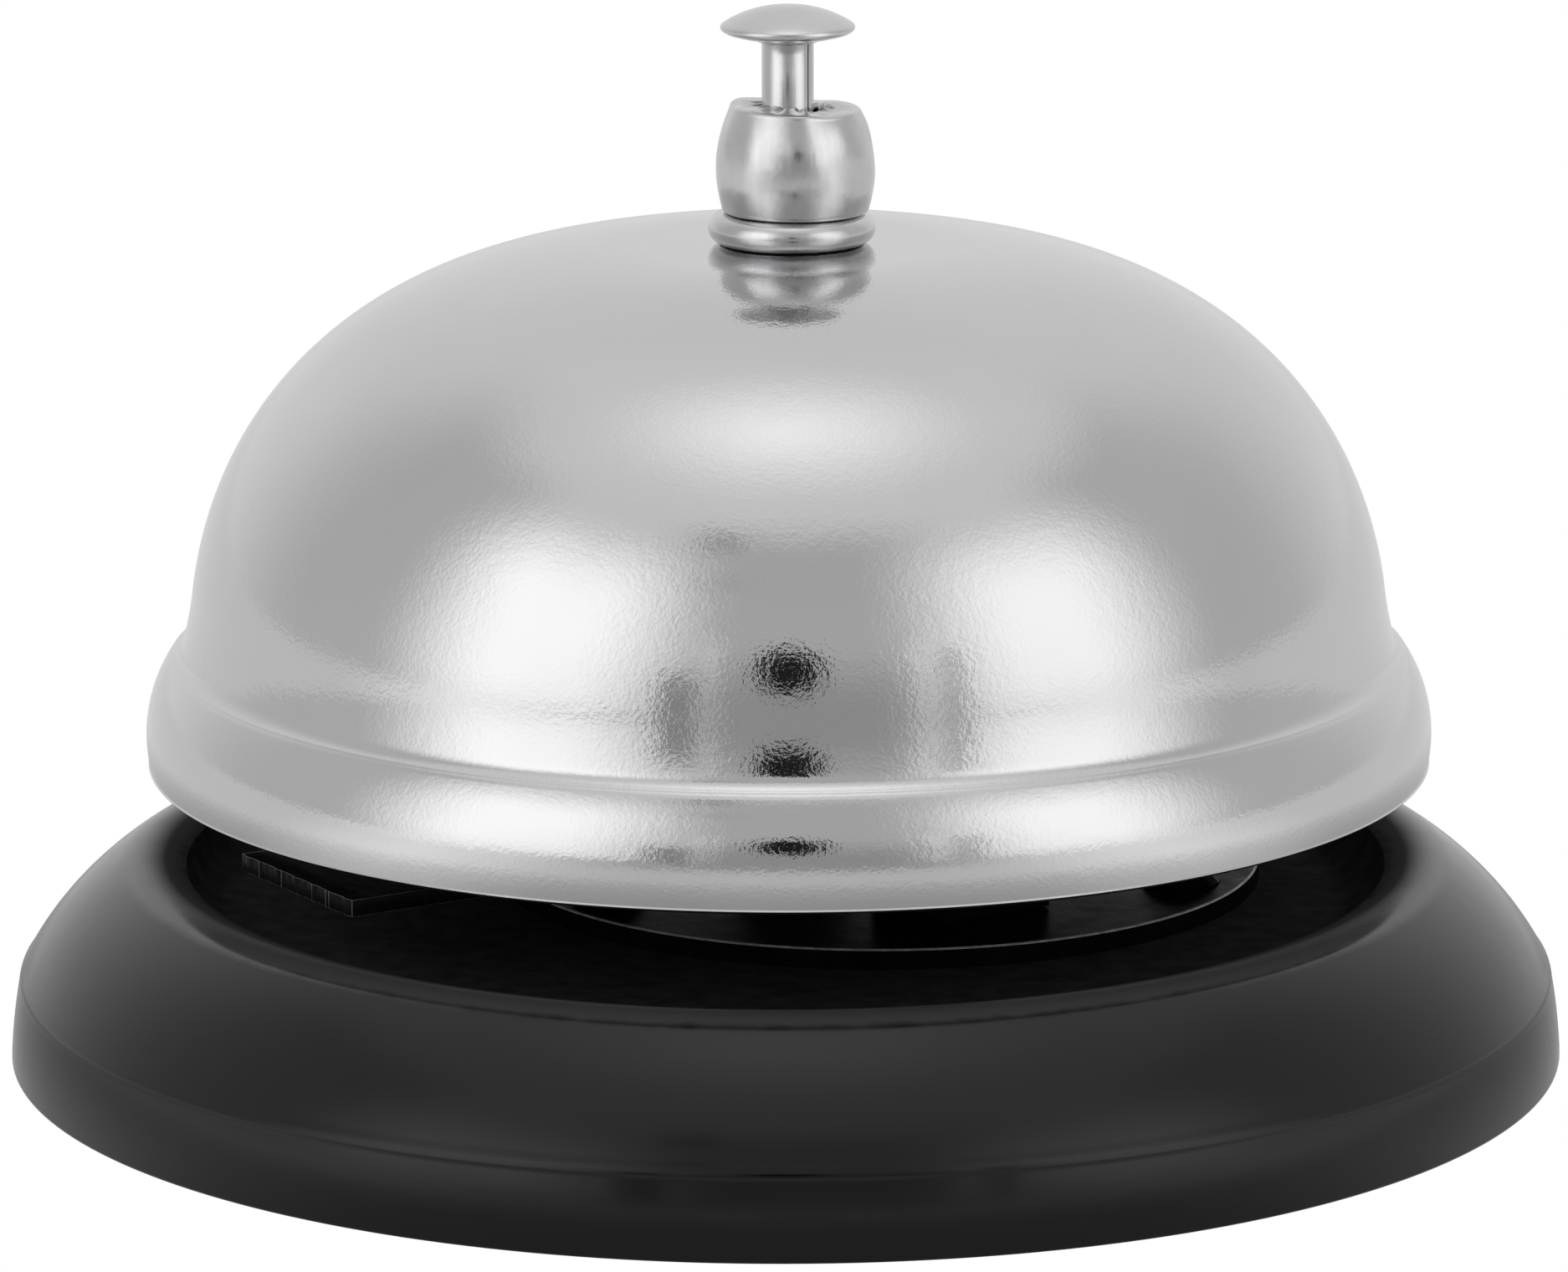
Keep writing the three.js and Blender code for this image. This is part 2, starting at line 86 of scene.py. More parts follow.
def add_camera():
    data = bpy.data.cameras.new("camera")
    data.lens = CAMERA_LENS
    data.sensor_width = 36.0
    data.clip_start, data.clip_end = 0.01, 20.0
    camera = bpy.data.objects.new("camera", data)
    turn = Matrix.Rotation(math.pi / 2 - CAMERA_PITCH, 4, "X") @ Matrix.Rotation(CAMERA_ROLL, 4, "Z")
    camera.matrix_world = Matrix.Translation(Vector(CAMERA_PLACE) * MM) @ turn
    bpy.context.collection.objects.link(camera)
    bpy.context.scene.camera = camera


# ---- outlines -----------------------------------------------------------------------------
def bulge(start, end, sag, steps):
    """An arc from start to end whose middle stands `sag` to the left of the line between them."""
    along = (end[0] - start[0], end[1] - start[1])
    length = math.hypot(*along)
    side = (-along[1] / length, along[0] / length)
    radius = (length * length / 4 + sag * sag) / (2 * abs(sag))
    half = math.asin(length / 2 / radius)
    points = []
    for i in range(steps + 1):
        angle = half * (2 * i / steps - 1)
        share = 0.5 + radius * math.sin(angle) / length
        out = math.copysign(radius * (math.cos(angle) - math.cos(half)), sag)
        points.append(tuple(start[k] + along[k] * share + side[k] * out for k in (0, 1)))
    return points


def bezier(a, b, c, d, steps):
    points = []
    for i in range(steps + 1):
        t = i / steps
        weights = ((1 - t) ** 3, 3 * t * (1 - t) ** 2, 3 * t * t * (1 - t), t ** 3)
        points.append(tuple(sum(w * p[k] for w, p in zip(weights, (a, b, c, d))) for k in (0, 1)))
    return points


def offset(points, distance):
    """Moves an outline sideways by `distance`, to the right of its direction of travel."""
    moved = []
    for i, point in enumerate(points):
        before, after = points[max(i - 1, 0)], points[min(i + 1, len(points) - 1)]
        run = (after[0] - before[0], after[1] - before[1])
        length = math.hypot(*run)
        moved.append((point[0] + run[1] / length * distance, point[1] - run[0] / length * distance))
    return moved


def rounded(corners, radius, steps=4):
    """A closed outline whose corners are rounded. A corner (r, z, own_radius) has its own radius."""
    outline = []
    for i, corner in enumerate(corners):
        here = Vector(corner[:2])
        back = Vector(corners[i - 1][:2]) - here
        ahead = Vector(corners[(i + 1) % len(corners)][:2]) - here
        size = corner[2] if len(corner) > 2 else radius
        half = back.angle(ahead) / 2
        if size == 0 or half > math.radians(88):
            outline.append(tuple(here))
            continue
        reach = min(size / math.tan(half), 0.48 * back.length, 0.48 * ahead.length)
        first, last = here + back.normalized() * reach, here + ahead.normalized() * reach
        for k in range(steps + 1):
            t = k / steps
            outline.append(tuple(first * (1 - t) ** 2 + here * 2 * t * (1 - t) + last * t * t))
    return outline


def circle(radius, steps):
    return [(radius * math.cos(2 * math.pi * i / steps), radius * math.sin(2 * math.pi * i / steps))
            for i in range(steps)]


# ---- meshes -------------------------------------------------------------------------------
def make_piece(name, bm, material, body, nodes, sharp=35):
    """Turns a bmesh in millimetres into a finished piece that rides on a body and replaces CAD nodes.

    `material` may be a list: a face's material_index picks from it.
    """
    bmesh.ops.remove_doubles(bm, verts=bm.verts, dist=1e-5)
    bmesh.ops.recalc_face_normals(bm, faces=bm.faces)
    bmesh.ops.scale(bm, vec=(MM, MM, MM), verts=bm.verts)
    mesh = bpy.data.meshes.new(name)
    bm.to_mesh(mesh)
    bm.free()
    mesh.shade_smooth()
    mesh.set_sharp_from_angle(angle=math.radians(sharp))
    for entry in material if isinstance(material, list) else [material]:
        mesh.materials.append(entry)
    piece = bpy.data.objects.new(name, mesh)
    bpy.context.collection.objects.link(piece)
    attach(piece, body)
    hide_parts(*nodes)
    return piece


def revolve(outline, steps=SMALL_STEPS, centre=(0, 0), wander=None):
    """A bmesh turned about Z from a closed outline. wander(radius, height, angle) may move each point."""
    bm = bmesh.new()
    rings = []
    for radius, height in outline:
        if radius < 1e-6:
            rings.append([bm.verts.new((centre[0], centre[1], height))])
            continue
        ring = []
        for i in range(steps):
            angle = 2 * math.pi * i / steps
            r, z = wander(radius, height, angle) if wander else (radius, height)
            ring.append(bm.verts.new((centre[0] + r * math.cos(angle), centre[1] + r * math.sin(angle), z)))
        rings.append(ring)
    for a, b in zip(rings, rings[1:] + rings[:1]):
        for i in range(steps):
            j = (i + 1) % steps
            corners = [a[i % len(a)], a[j % len(a)], b[j % len(b)], b[i % len(b)]]
            distinct = list(dict.fromkeys(corners))
            if len(distinct) > 2:
                bm.faces.new(distinct)
    return bm


# ---- materials ----------------------------------------------------------------------------
class Maths:
    """Short ways to add arithmetic nodes to a node tree."""

    def __init__(self, tree):
        self.nodes, self.links = tree.nodes, tree.links

    def calc(self, operation, *values):
        node = self.nodes.new("ShaderNodeMath")
        node.operation = operation
        for socket, value in zip(node.inputs, values):
            if isinstance(value, (int, float)):
                socket.default_value = value
            else:
                self.links.new(value, socket)
        return node.outputs["Value"]

    def smooth(self, value, start, end, low=0.0, high=1.0):
        """`low` at start and `high` at end, with soft shoulders."""
        if start > end:
            start, end, low, high = end, start, high, low
        node = self.nodes.new("ShaderNodeMapRange")
        node.interpolation_type = "SMOOTHSTEP"
        for name, number in (("From Min", start), ("From Max", end), ("To Min", low), ("To Max", high)):
            node.inputs[name].default_value = number
        self.links.new(value, node.inputs["Value"])
        return node.outputs["Result"]

    def split(self, vector):
        node = self.nodes.new("ShaderNodeSeparateXYZ")
        self.links.new(vector, node.inputs["Vector"])
        return [node.outputs[axis] for axis in "XYZ"]

    def bump(self, value, centre, half, soft):
        """1 within `half` of centre, falling to 0 over twice `soft`."""
        away = self.calc("ABSOLUTE", self.calc("SUBTRACT", value, centre))
        return self.smooth(away, half + soft, half - soft)

    def distance(self, x, y):
        return self.calc("SQRT", self.calc("ADD", self.calc("POWER", x, 2), self.calc("POWER", y, 2)))

    def azimuth(self, x, y):
        """Degrees from the front, growing to the right."""
        return self.calc("DEGREES", self.calc("ARCTAN2", x, self.calc("MULTIPLY", y, -1)))


class Shader:
    """A material under construction: its node tree and short ways to add and join nodes."""

    def __init__(self, name, **values):
        self.material = bpy.data.materials.new(name)
        self.material.use_nodes = True
        self.nodes = self.material.node_tree.nodes
        self.links = self.material.node_tree.links
        self.surface = self.nodes["Principled BSDF"]
        for socket, value in values.items():
            self.surface.inputs[socket.replace("_", " ")].default_value = value
        self.place = self.nodes.new("ShaderNodeTexCoord").outputs["Object"]

    def link(self, source, target):
        self.links.new(source, target)

    def stretched(self, scale):
        mapping = self.nodes.new("ShaderNodeMapping")
        mapping.inputs["Scale"].default_value = scale
        self.link(self.place, mapping.inputs["Vector"])
        return mapping.outputs["Vector"]

    def noise(self, scale, detail=2.0, roughness=0.5, place=None):
        texture = self.nodes.new("ShaderNodeTexNoise")
        texture.inputs["Scale"].default_value = scale
        texture.inputs["Detail"].default_value = detail
        texture.inputs["Roughness"].default_value = roughness
        self.link(place or self.place, texture.inputs["Vector"])
        return texture.outputs["Fac"]

    def spread(self, value, low, high, start=0.3, end=0.7):
        ranged = self.nodes.new("ShaderNodeMapRange")
        ranged.inputs["From Min"].default_value = start
        ranged.inputs["From Max"].default_value = end
        ranged.inputs["To Min"].default_value = low
        ranged.inputs["To Max"].default_value = high
        self.link(value, ranged.inputs["Value"])
        return ranged.outputs["Result"]

    def tint(self, value, dark, light):
        ramp = self.nodes.new("ShaderNodeValToRGB")
        ramp.color_ramp.elements[0].position, ramp.color_ramp.elements[0].color = 0.3, (*dark, 1)
        ramp.color_ramp.elements[1].position, ramp.color_ramp.elements[1].color = 0.7, (*light, 1)
        self.link(value, ramp.inputs["Fac"])
        self.link(ramp.outputs["Color"], self.surface.inputs["Base Color"])

    def rough(self, value, low, high):
        self.link(self.spread(value, low, high), self.surface.inputs["Roughness"])

    def bump(self, value, depth_mm, strength=1.0, under=None):
        bump = self.nodes.new("ShaderNodeBump")
        bump.inputs["Distance"].default_value = depth_mm * MM
        bump.inputs["Strength"].default_value = strength
        self.link(value, bump.inputs["Height"])
        if under:
            self.link(under, bump.inputs["Normal"])
        self.link(bump.outputs["Normal"], self.surface.inputs["Normal"])
        return bump.outputs["Normal"]


def satin_nickel():
    """Nickel plate over a finely orange-peeled pressing."""
    shader = Shader("satin_nickel", Metallic=1.0)
    shader.tint(shader.noise(60, 3), (0.615, 0.615, 0.62), (0.655, 0.655, 0.66))
    shader.rough(shader.noise(140, 4), 0.05, 0.08)
    swell = shader.bump(shader.noise(180, 2), 0.012)
    peel = shader.bump(shader.noise(1500, 2), 0.008, under=swell)
    shader.bump(shader.noise(4600, 2, 0.6), 0.0095, under=peel)
    return shader.material


def drawn_nickel(name, least, most):
    """Nickel on the small turned and rolled pieces, slightly dented, with draw lines down their length."""
    shader = Shader(name, Metallic=1.0)
    lines = shader.noise(1, 3, 0.6, shader.stretched((2600, 2600, 90)))
    shader.tint(shader.noise(400, 3), (0.57, 0.57, 0.575), (0.66, 0.66, 0.665))
    shader.rough(lines, least, most)
    dents = shader.bump(shader.noise(620, 2), 0.03)
    peel = shader.bump(shader.noise(2200, 3), 0.005, under=dents)
    shader.bump(lines, 0.004, under=peel)
    return shader.material


def smooth_nickel():
    """The button's polished top, worn a little satin by palms."""
    shader = Shader("smooth_nickel", Metallic=1.0)
    shader.tint(shader.noise(300, 3), (0.60, 0.60, 0.605), (0.65, 0.65, 0.655))
    shader.rough(shader.noise(700, 4), 0.16, 0.24)
    shader.bump(shader.noise(1400, 3), 0.004)
    return shader.material


def dull_inside():
    """The bell's unpolished inner face, painted dark as shade for the inside of the bell."""
    shader = Shader("dull_inside", Metallic=0.0, Specular_IOR_Level=0.15)
    shader.tint(shader.noise(300, 4), (0.05, 0.05, 0.05), (0.09, 0.09, 0.09))
    shader.rough(shader.noise(500, 4), 0.6, 0.8)
    shader.bump(shader.noise(1800, 3), 0.01)
    return shader.material


def zinc_steel():
    """Dull zinc plate on the hidden turned pieces."""
    shader = Shader("zinc_steel", Metallic=1.0)
    shader.tint(shader.noise(500, 5, 0.7), (0.42, 0.42, 0.43), (0.60, 0.60, 0.60))
    shader.rough(shader.noise(900, 4), 0.28, 0.45)
    shader.bump(shader.noise(3000, 3), 0.003)
    return shader.material


def stoved_black():
    """Glossy black enamel, dull on the rounded rim and down in the pan, which are painted grey: a painted
    sheen in place of their reflections, darker down in the pan as painted shade.
    """
    shader = Shader("stoved_black", Metallic=0.0, IOR=1.42)
    maths = Maths(shader.material.node_tree)
    x, y, _ = maths.split(shader.place)
    radius = maths.distance(x, y)
    rim = ROLL_END[0] * MM
    # painted shade: the grey is 0.72 as strong down in the pan
    inner = maths.smooth(radius, rim, rim + 1.3 * MM, 0.72)
    outer = maths.smooth(radius, (CROWN_END[0] + 0.9) * MM, (CROWN_END[0] - 0.9) * MM)
    painted_sheen_and_shade = maths.calc("MULTIPLY", inner, outer)
    speckle = shader.spread(shader.noise(700, 4), 0.75, 1.0)
    # the grey on the rim and in the pan is a painted sheen in place of reflections
    shader.tint(maths.calc("MULTIPLY", painted_sheen_and_shade, speckle), (0.0018, 0.0018, 0.0019), (0.055, 0.055, 0.055))
    thin = maths.smooth(radius, rim + 3.5 * MM, rim + 0.8 * MM, 0.0, 0.3)
    rough = maths.calc("ADD", shader.spread(shader.noise(260, 4), 0.11, 0.16), thin)
    shader.link(rough, shader.surface.inputs["Roughness"])
    gloss = maths.smooth(radius, rim + 1.1 * MM, rim + 3.9 * MM, 0.0, 0.5)
    shader.link(gloss, shader.surface.inputs["Specular IOR Level"])
    flow = shader.bump(shader.noise(220, 2), 0.012)
    shader.bump(shader.noise(1900, 3), 0.0012, under=flow)
    return shader.material


def black_strip():
    """Thin semi-gloss black over sheared strip steel."""
    shader = Shader("black_strip", Metallic=0.0, IOR=1.42, Specular_IOR_Level=0.05)
    shader.tint(shader.noise(700, 5, 0.7), (0.003, 0.003, 0.003), (0.009, 0.009, 0.009))
    shader.rough(shader.noise(800, 4), 0.25, 0.42)
    shader.bump(shader.noise(2600, 4), 0.006)
    return shader.material


def painted_edge_highlight():
    """The black strip's eased edges in light grey half-metal: a painted highlight along them."""
    shader = Shader("painted_edge_highlight", Metallic=0.3)
    shader.tint(shader.noise(1600, 5, 0.8), (0.22, 0.22, 0.22), (0.68, 0.68, 0.68))
    shader.rough(shader.noise(1200, 4), 0.35, 0.5)
    shader.bump(shader.noise(4000, 3), 0.004)
    return shader.material


def pad_rubber():
    """Matt black rubber."""
    shader = Shader("pad_rubber", Metallic=0.0)
    shader.tint(shader.noise(1200, 4), (0.012, 0.012, 0.012), (0.024, 0.024, 0.024))
    shader.rough(shader.noise(900, 4), 0.75, 0.92)
    shader.bump(shader.noise(5000, 3), 0.02)
    return shader.material


NICKEL = satin_nickel()
SMOOTH = smooth_nickel()
BRIGHT = drawn_nickel("bright_nickel", 0.13, 0.26)
DRAWN = drawn_nickel("drawn_nickel", 0.16, 0.28)
# painted shade for the inside of the bell
INSIDE = dull_inside()
ZINC = zinc_steel()
ENAMEL = stoved_black()
STRIP = black_strip()
# painted highlight for the eased edges of black strip
EDGE_HIGHLIGHT = painted_edge_highlight()
RUBBER = pad_rubber()


# ---- base ---------------------------------------------------------------------------------
def base_dish():
    """One pressing: a skirt, a crease, a domed crown, a rounded rim and a shallow pan."""
    hem_bottom = PAD_TOP + FIT_GAP
    edge_inside = SKIRT_RADIUS - SKIRT_EDGE
    crown = [
        *bulge((SKIRT_RADIUS - 0.16, SKIRT_DROP), (SKIRT_RADIUS, SKIRT_DROP + 0.2), -0.06, 6),
        *bulge((SKIRT_RADIUS - 0.01, SKIRT_DROP + 0.6), (CREASE[0] + 0.06, CREASE[1] - 0.45), -0.05, 6),
        *bulge((CREASE[0] + 0.03, CREASE[1] - 0.3), (CREASE[0] - 0.1, CREASE[1] + 0.22), -0.03, 6),
        *bulge((CREASE[0] - 0.25, CREASE[1] + 0.42), CROWN_END, -0.49, 28),
        *bulge(CROWN_END, ROLL_END, -0.38, 16)[1:],
    ]
    crown += [*bulge(ROLL_END, (PAN_RADIUS, PAN_FLOOR), 0.3, 12)[1:], (PAN_RADIUS - 0.6, PAN_FLOOR - 0.02)]
    inside = offset(crown[14:], -SHEET)
    hem_top = hem_bottom + SHEET
    outline = [
        *crown, (0, PAN_FLOOR), (0, PAN_FLOOR - SHEET), *reversed(inside),
        (SKIRT_RADIUS - SHEET, hem_top + 0.4), (SKIRT_RADIUS - SHEET - 0.4, hem_top),
        (SKIRT_RADIUS - HEM_WIDTH, hem_top), (SKIRT_RADIUS - HEM_WIDTH, hem_bottom),
        (edge_inside, hem_bottom), (edge_inside, SKIRT_DROP + 0.1), (edge_inside + 0.1, SKIRT_DROP),
    ]
    dish = revolve(outline, TURN_STEPS)
    make_piece("pressed_dish", dish, ENAMEL, "base", ["base_dish"])


def base_pad():
    """The flat rubber ring that the bell stands on."""
    section = [(PAD_BORE, 0), (PAD_RADIUS, 0, 0.2), (PAD_RADIUS, PAD_TOP), (PAD_BORE, PAD_TOP)]
    ring = revolve(rounded(section, 0.1), TURN_STEPS)
    make_piece("foot_ring", ring, RUBBER, "base", ["base_pad"])


# ---- bell dome ----------------------------------------------------------------------------
DOME_TOP = 44.7
DOME_HOLE = 2.9
DOME_FLAT = 8                    # the top stays nearly flat out to here
DOME_PULL = 23.3                 # how far out the flat top pulls the shoulder
WAIST_PULL = (-1.23, 10)         # and how far up the waist pulls it
WAIST = (32.43, 25.8)
NECK = (32.97, 23.05)
FLARE_START = (33.55, 22.36)
BELL_RADIUS = 35.0
LIP_WIDEST = 17.3
LIP_EDGE = (34.4, 16.3)
LIP_BEAD = (34.95, 16.46)        # a fine burr left where the lip was trimmed
LEDGE = (0.17, -0.17)            # the fine step pressed into the bell where its rim band starts


def bell_dome():
    """A flat-topped bell with a waist, a flare, a fine step and a rim band, and a dull inside painted dark
    as shade.
    """
    shoulder_end = (WAIST[0] + WAIST_PULL[0], WAIST[1] + WAIST_PULL[1])
    ledge_end = (FLARE_START[0] + LEDGE[0], FLARE_START[1] + LEDGE[1])
    outside = [
        (DOME_HOLE, DOME_TOP),
        *bezier((DOME_FLAT, DOME_TOP), (DOME_PULL, DOME_TOP), shoulder_end, WAIST, 64),
        *bulge(WAIST, NECK, -0.049, 12)[1:],
        *bulge(NECK, FLARE_START, -0.095, 12)[1:],
        *bulge(FLARE_START, ledge_end, -0.01, 4)[1:],
        *bulge(ledge_end, (BELL_RADIUS, LIP_WIDEST), 0.46, 24)[1:],
        *bulge((BELL_RADIUS, LIP_WIDEST), (LIP_BEAD[0] - 0.06, LIP_BEAD[1] + 0.08), 0.01, 6)[1:],
        *bulge(LIP_BEAD, LIP_EDGE, 0.1, 8),
    ]
    inside = offset(outside, SHEET)
    lip = bulge(LIP_EDGE, inside[-1], 0.15, 6)[1:-1]
    outline = [*outside, *lip, *reversed(inside)]
    shell = revolve(outline, TURN_STEPS, POST)
    shell.faces.ensure_lookup_table()
    for face in shell.faces[(len(outside) + len(lip)) * TURN_STEPS:]:
        face.material_index = 1
    make_piece("bell_shell", shell, [NICKEL, INSIDE], "base", ["bell_dome"])


# ---- the stack on top ---------------------------------------------------------------------
COLLAR_TOP = 46.4
COLLAR_RADIUS = 3.97             # at its top and bottom edges
COLLAR_BORE = 3.0
COLLAR_CENTRE = (POST[0] + 0.2, 0)
NUT_TOP = 52.2
NUT_CENTRE = (POST[0] + 0.4, 0)
NUT_WALL = 0.35
NUT_LEAN = 0.16                  # how far the top stands up at the left and sinks at the right
SHOULDER_DEPTH = 1.6             # the crimping bends the nut down to this far below its top


def bell_collar():
    """A ring with a rounded side that clamps the bell."""
    bottom = DOME_TOP + FIT_GAP
    side = bulge((COLLAR_RADIUS, bottom + 0.04), (COLLAR_RADIUS, COLLAR_TOP - 0.04), -0.56, 16)
    outline = [
        (COLLAR_BORE, bottom), (COLLAR_RADIUS - 0.05, bottom), *side,
        (COLLAR_RADIUS - 0.12, COLLAR_TOP), (COLLAR_BORE, COLLAR_TOP),
    ]
    ring = revolve(outline, SMALL_STEPS, COLLAR_CENTRE)
    make_piece("collar_ring", ring, BRIGHT, "base", ["bell_collar"])


def barrel_nut():
    """A pressed barrel whose top is crimped inwards, so its mouth is uneven and slightly folded."""
    bottom = COLLAR_TOP + FIT_GAP
    wall = [
        *bulge((3.93, bottom + 0.1), (3.58, NUT_TOP - 0.3), -0.54, 28),
        *bulge((3.56, NUT_TOP - 0.26), (3.3, NUT_TOP - 0.04), -0.07, 8),
        *bulge((3.2, NUT_TOP - 0.02), (1.8, NUT_TOP + 0.02), 0.02, 16),
        (1.74, NUT_TOP - 0.05), (1.72, NUT_TOP - 0.3),
    ]
    outline = [(3.82, bottom), *wall, *reversed(offset(wall, -NUT_WALL)), (3.5, bottom)]

    def crimp(radius, height, angle):
        """Uneven shoulder, a top that leans to the right, folds across it, and a ragged mouth."""
        shoulder = max(0.0, (height - (NUT_TOP - SHOULDER_DEPTH)) / SHOULDER_DEPTH)
        inward = min(max((3.2 - radius) / 1.3, 0.0), 1.0) if height > NUT_TOP - 1 else 0.0
        wave = noise.noise(Vector((math.cos(angle) * 1.5, math.sin(angle) * 1.5, 7.0)))
        fold = noise.noise(Vector((math.cos(angle) * 4.5, math.sin(angle) * 4.5, 3.0)))
        dent = noise.noise(Vector((math.cos(angle) * 2.5, math.sin(angle) * 2.5, height * 0.5)))
        lean = NUT_LEAN * math.cos(angle) * radius / 3.5
        radius += 0.07 * dent + shoulder ** 2 * 0.14 * wave + inward * 0.26 * fold
        height += shoulder ** 2 * (0.16 * wave - lean) + inward * 0.3 * fold
        return max(radius, STEM_RADIUS + 0.12), min(height, NUT_TOP + NUT_LEAN)

    bm = revolve(outline, SMALL_STEPS * 2, NUT_CENTRE, crimp)
    make_piece("crimped_barrel", bm, DRAWN, "base", ["barrel_nut"], sharp=50)


# ---- plunger ------------------------------------------------------------------------------
BUTTON_RADIUS = 3.62
BUTTON_RIM = 56.45
BUTTON_TOP = 57.62
BUTTON_HUB = 55.75
STEM_RADIUS = 1.4                # outside the sleeve
ROD_NECK = 1.1
SEAM_AZIMUTH = -36               # the sleeve's seam, and half its gap, in degrees
SEAM_HALF_GAP = 2.2
SLEEVE_BOTTOM = 46.0


def plunger_button():
    """A thin-rimmed mushroom on a short hub."""
    outline = [
        (0, BUTTON_RIM + 0.12), (ROD_NECK + 0.1, BUTTON_RIM + 0.12), (ROD_NECK + 0.1, BUTTON_HUB),
        (1.75, BUTTON_HUB), (1.85, BUTTON_HUB + 0.08), (1.9, BUTTON_HUB + 0.2), (2.6, BUTTON_RIM - 0.48),
        (3.3, BUTTON_RIM - 0.3), (3.52, BUTTON_RIM - 0.18),
        *bulge((3.56, BUTTON_RIM - 0.14), (BUTTON_RADIUS - 0.06, BUTTON_RIM + 0.16), -0.07, 6),
        *bulge((BUTTON_RADIUS - 0.1, BUTTON_RIM + 0.2), (0, BUTTON_TOP), -0.28, 24)[1:],
    ]
    button = revolve(outline, SMALL_STEPS, POST)
    make_piece("mushroom_button", button, SMOOTH, "plunger", ["plunger_button"])


def plunger_sleeve():
    """A sheet rolled into a tube, with its seam to the right of the front."""
    seam = math.radians(SEAM_AZIMUTH)
    half_gap = math.radians(SEAM_HALF_GAP)
    steps = 72
    inside = ROD_NECK + 0.05
    bottom, top = SLEEVE_BOTTOM + FIT_GAP, BUTTON_HUB - FIT_GAP
    bm = bmesh.new()
    columns = []
    for i in range(steps + 1):
        angle = seam + half_gap + (2 * math.pi - 2 * half_gap) * i / steps
        near_seam = min(i, steps - i)
        outer = STEM_RADIUS - (0.05 if near_seam == 0 else 0.015 if near_seam == 1 else 0)
        section = [
            (outer - 0.05, bottom), (outer, bottom + 0.06), (outer, top - 0.06),
            (outer - 0.05, top), (inside, top), (inside, bottom),
        ]
        column = []
        for r, z in section:
            column.append(bm.verts.new((POST[0] + r * math.cos(angle), r * math.sin(angle), z)))
        columns.append(column)
    count = len(columns[0])
    for a, b in zip(columns, columns[1:]):
        for k in range(count):
            bm.faces.new((a[k], b[k], b[(k + 1) % count], a[(k + 1) % count]))
    bm.faces.new(columns[0])
    bm.faces.new(columns[-1])
    make_piece("rolled_sleeve", bm, BRIGHT, "plunger", ["plunger_sleeve"], sharp=50)


# ---- CAD nodes that keep their own mesh, with eased edges -----------------------------------
RIVET_NODES = ("plate_rivet_rear", "plate_rivet_left", "plate_rivet_right", "bridge_rivet_front",
               "bridge_rivet_rear")


def ease_edges(piece, edge_mm, edge_slot=-1):
    """Rounds the sharp edges. edge_slot is the material slot that the rounded strips take."""
    ease = piece.modifiers.new("eased_edges", "BEVEL")
    ease.width = edge_mm * MM
    ease.segments = 2
    ease.limit_method = "ANGLE"
    ease.angle_limit = math.radians(40)
    ease.harden_normals = False
    ease.material = edge_slot


def dress(node, material, edge_mm=0.06):
    """Gives a CAD node its material and eased edges, which on black strip carry a painted highlight."""
    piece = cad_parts[node]
    piece.data.materials.clear()
    piece.data.materials.append(material)
    if material is STRIP:
        piece.data.materials.append(EDGE_HIGHLIGHT)
        ease_edges(piece, edge_mm, 1)
    else:
        ease_edges(piece, edge_mm)


def dress_inner_nodes():
    for node in (*RIVET_NODES, "bridge_bracket"):
        dress(node, STRIP, 0.08)
    for node in ("post_tube", "pivot_pin", "pin_ring", "support_washer", "support_nut", "nut_insert",
                 "plunger_rod", "drive_clip", "seat_clip", "spring_seat", "hammer_bush"):
        dress(node, ZINC)


# ---- mechanism plate ----------------------------------------------------------------------
PLATE_CENTRE = (5.2, 4.6)
PLATE_RADIUS = 21
RIVET_HOLE = 1.6                 # radius


def mechanism_plate():
    """A round plate with its five rivet holes, and a painted highlight along its upper rim."""
    bm = bmesh.new()
    loops = [(PLATE_CENTRE, PLATE_RADIUS, TURN_STEPS)]
    for node in RIVET_NODES:
        low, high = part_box(node)
        loops.append((((low[0] + high[0]) / 2 / MM, (low[1] + high[1]) / 2 / MM), RIVET_HOLE, 32))
    for (x, y), radius, steps in loops:
        ring = [bm.verts.new((x + a, y + b, PLATE_TOP)) for a, b in circle(radius, steps)]
        for here, there in zip(ring, ring[1:] + ring[:1]):
            bm.edges.new((here, there))
    bmesh.ops.triangle_fill(bm, edges=bm.edges[:], use_beauty=True)
    under = bmesh.ops.extrude_face_region(bm, geom=bm.faces[:])["geom"]
    moved = [part for part in under if isinstance(part, bmesh.types.BMVert)]
    bmesh.ops.translate(bm, vec=(0, 0, PAN_FLOOR + FIT_GAP - PLATE_TOP), verts=moved)
    bm.normal_update()
    # only the plate's upper edges take the painted highlight
    worn = bm.edges.layers.float.new("bevel_weight_edge")
    for edge in bm.edges:
        upper = all(vert.co.z > PLATE_TOP - 0.01 for vert in edge.verts)
        edge[worn] = 1.0 if upper and edge.calc_face_angle(0) > 1 else 0.0
    plate = make_piece("rubbed_plate", bm, [STRIP, EDGE_HIGHLIGHT], "base", ["mechanism_plate"])
    ease_edges(plate, 0.1, 1)
    plate.modifiers["eased_edges"].limit_method = "WEIGHT"


# ---- hammer -------------------------------------------------------------------------------
PIVOT = (9, 24.3)                # the pin: distance from the post, height
PIN_HOLE = 1.1                   # radius
EAR_RADIUS = 2.4
HAMMER_HALF = 5.95               # half the strip's width
ARM_LEVEL = 21.9
FOOT_LEVEL = 13.15
FOOT_REACH = 30.9
FORK_HALF = 1.85                 # half the slot between the fork's tines
FORK_END = 3.2
SHEAR_ROWS = 64                  # strips across the foot, for the ridges of its sheared end


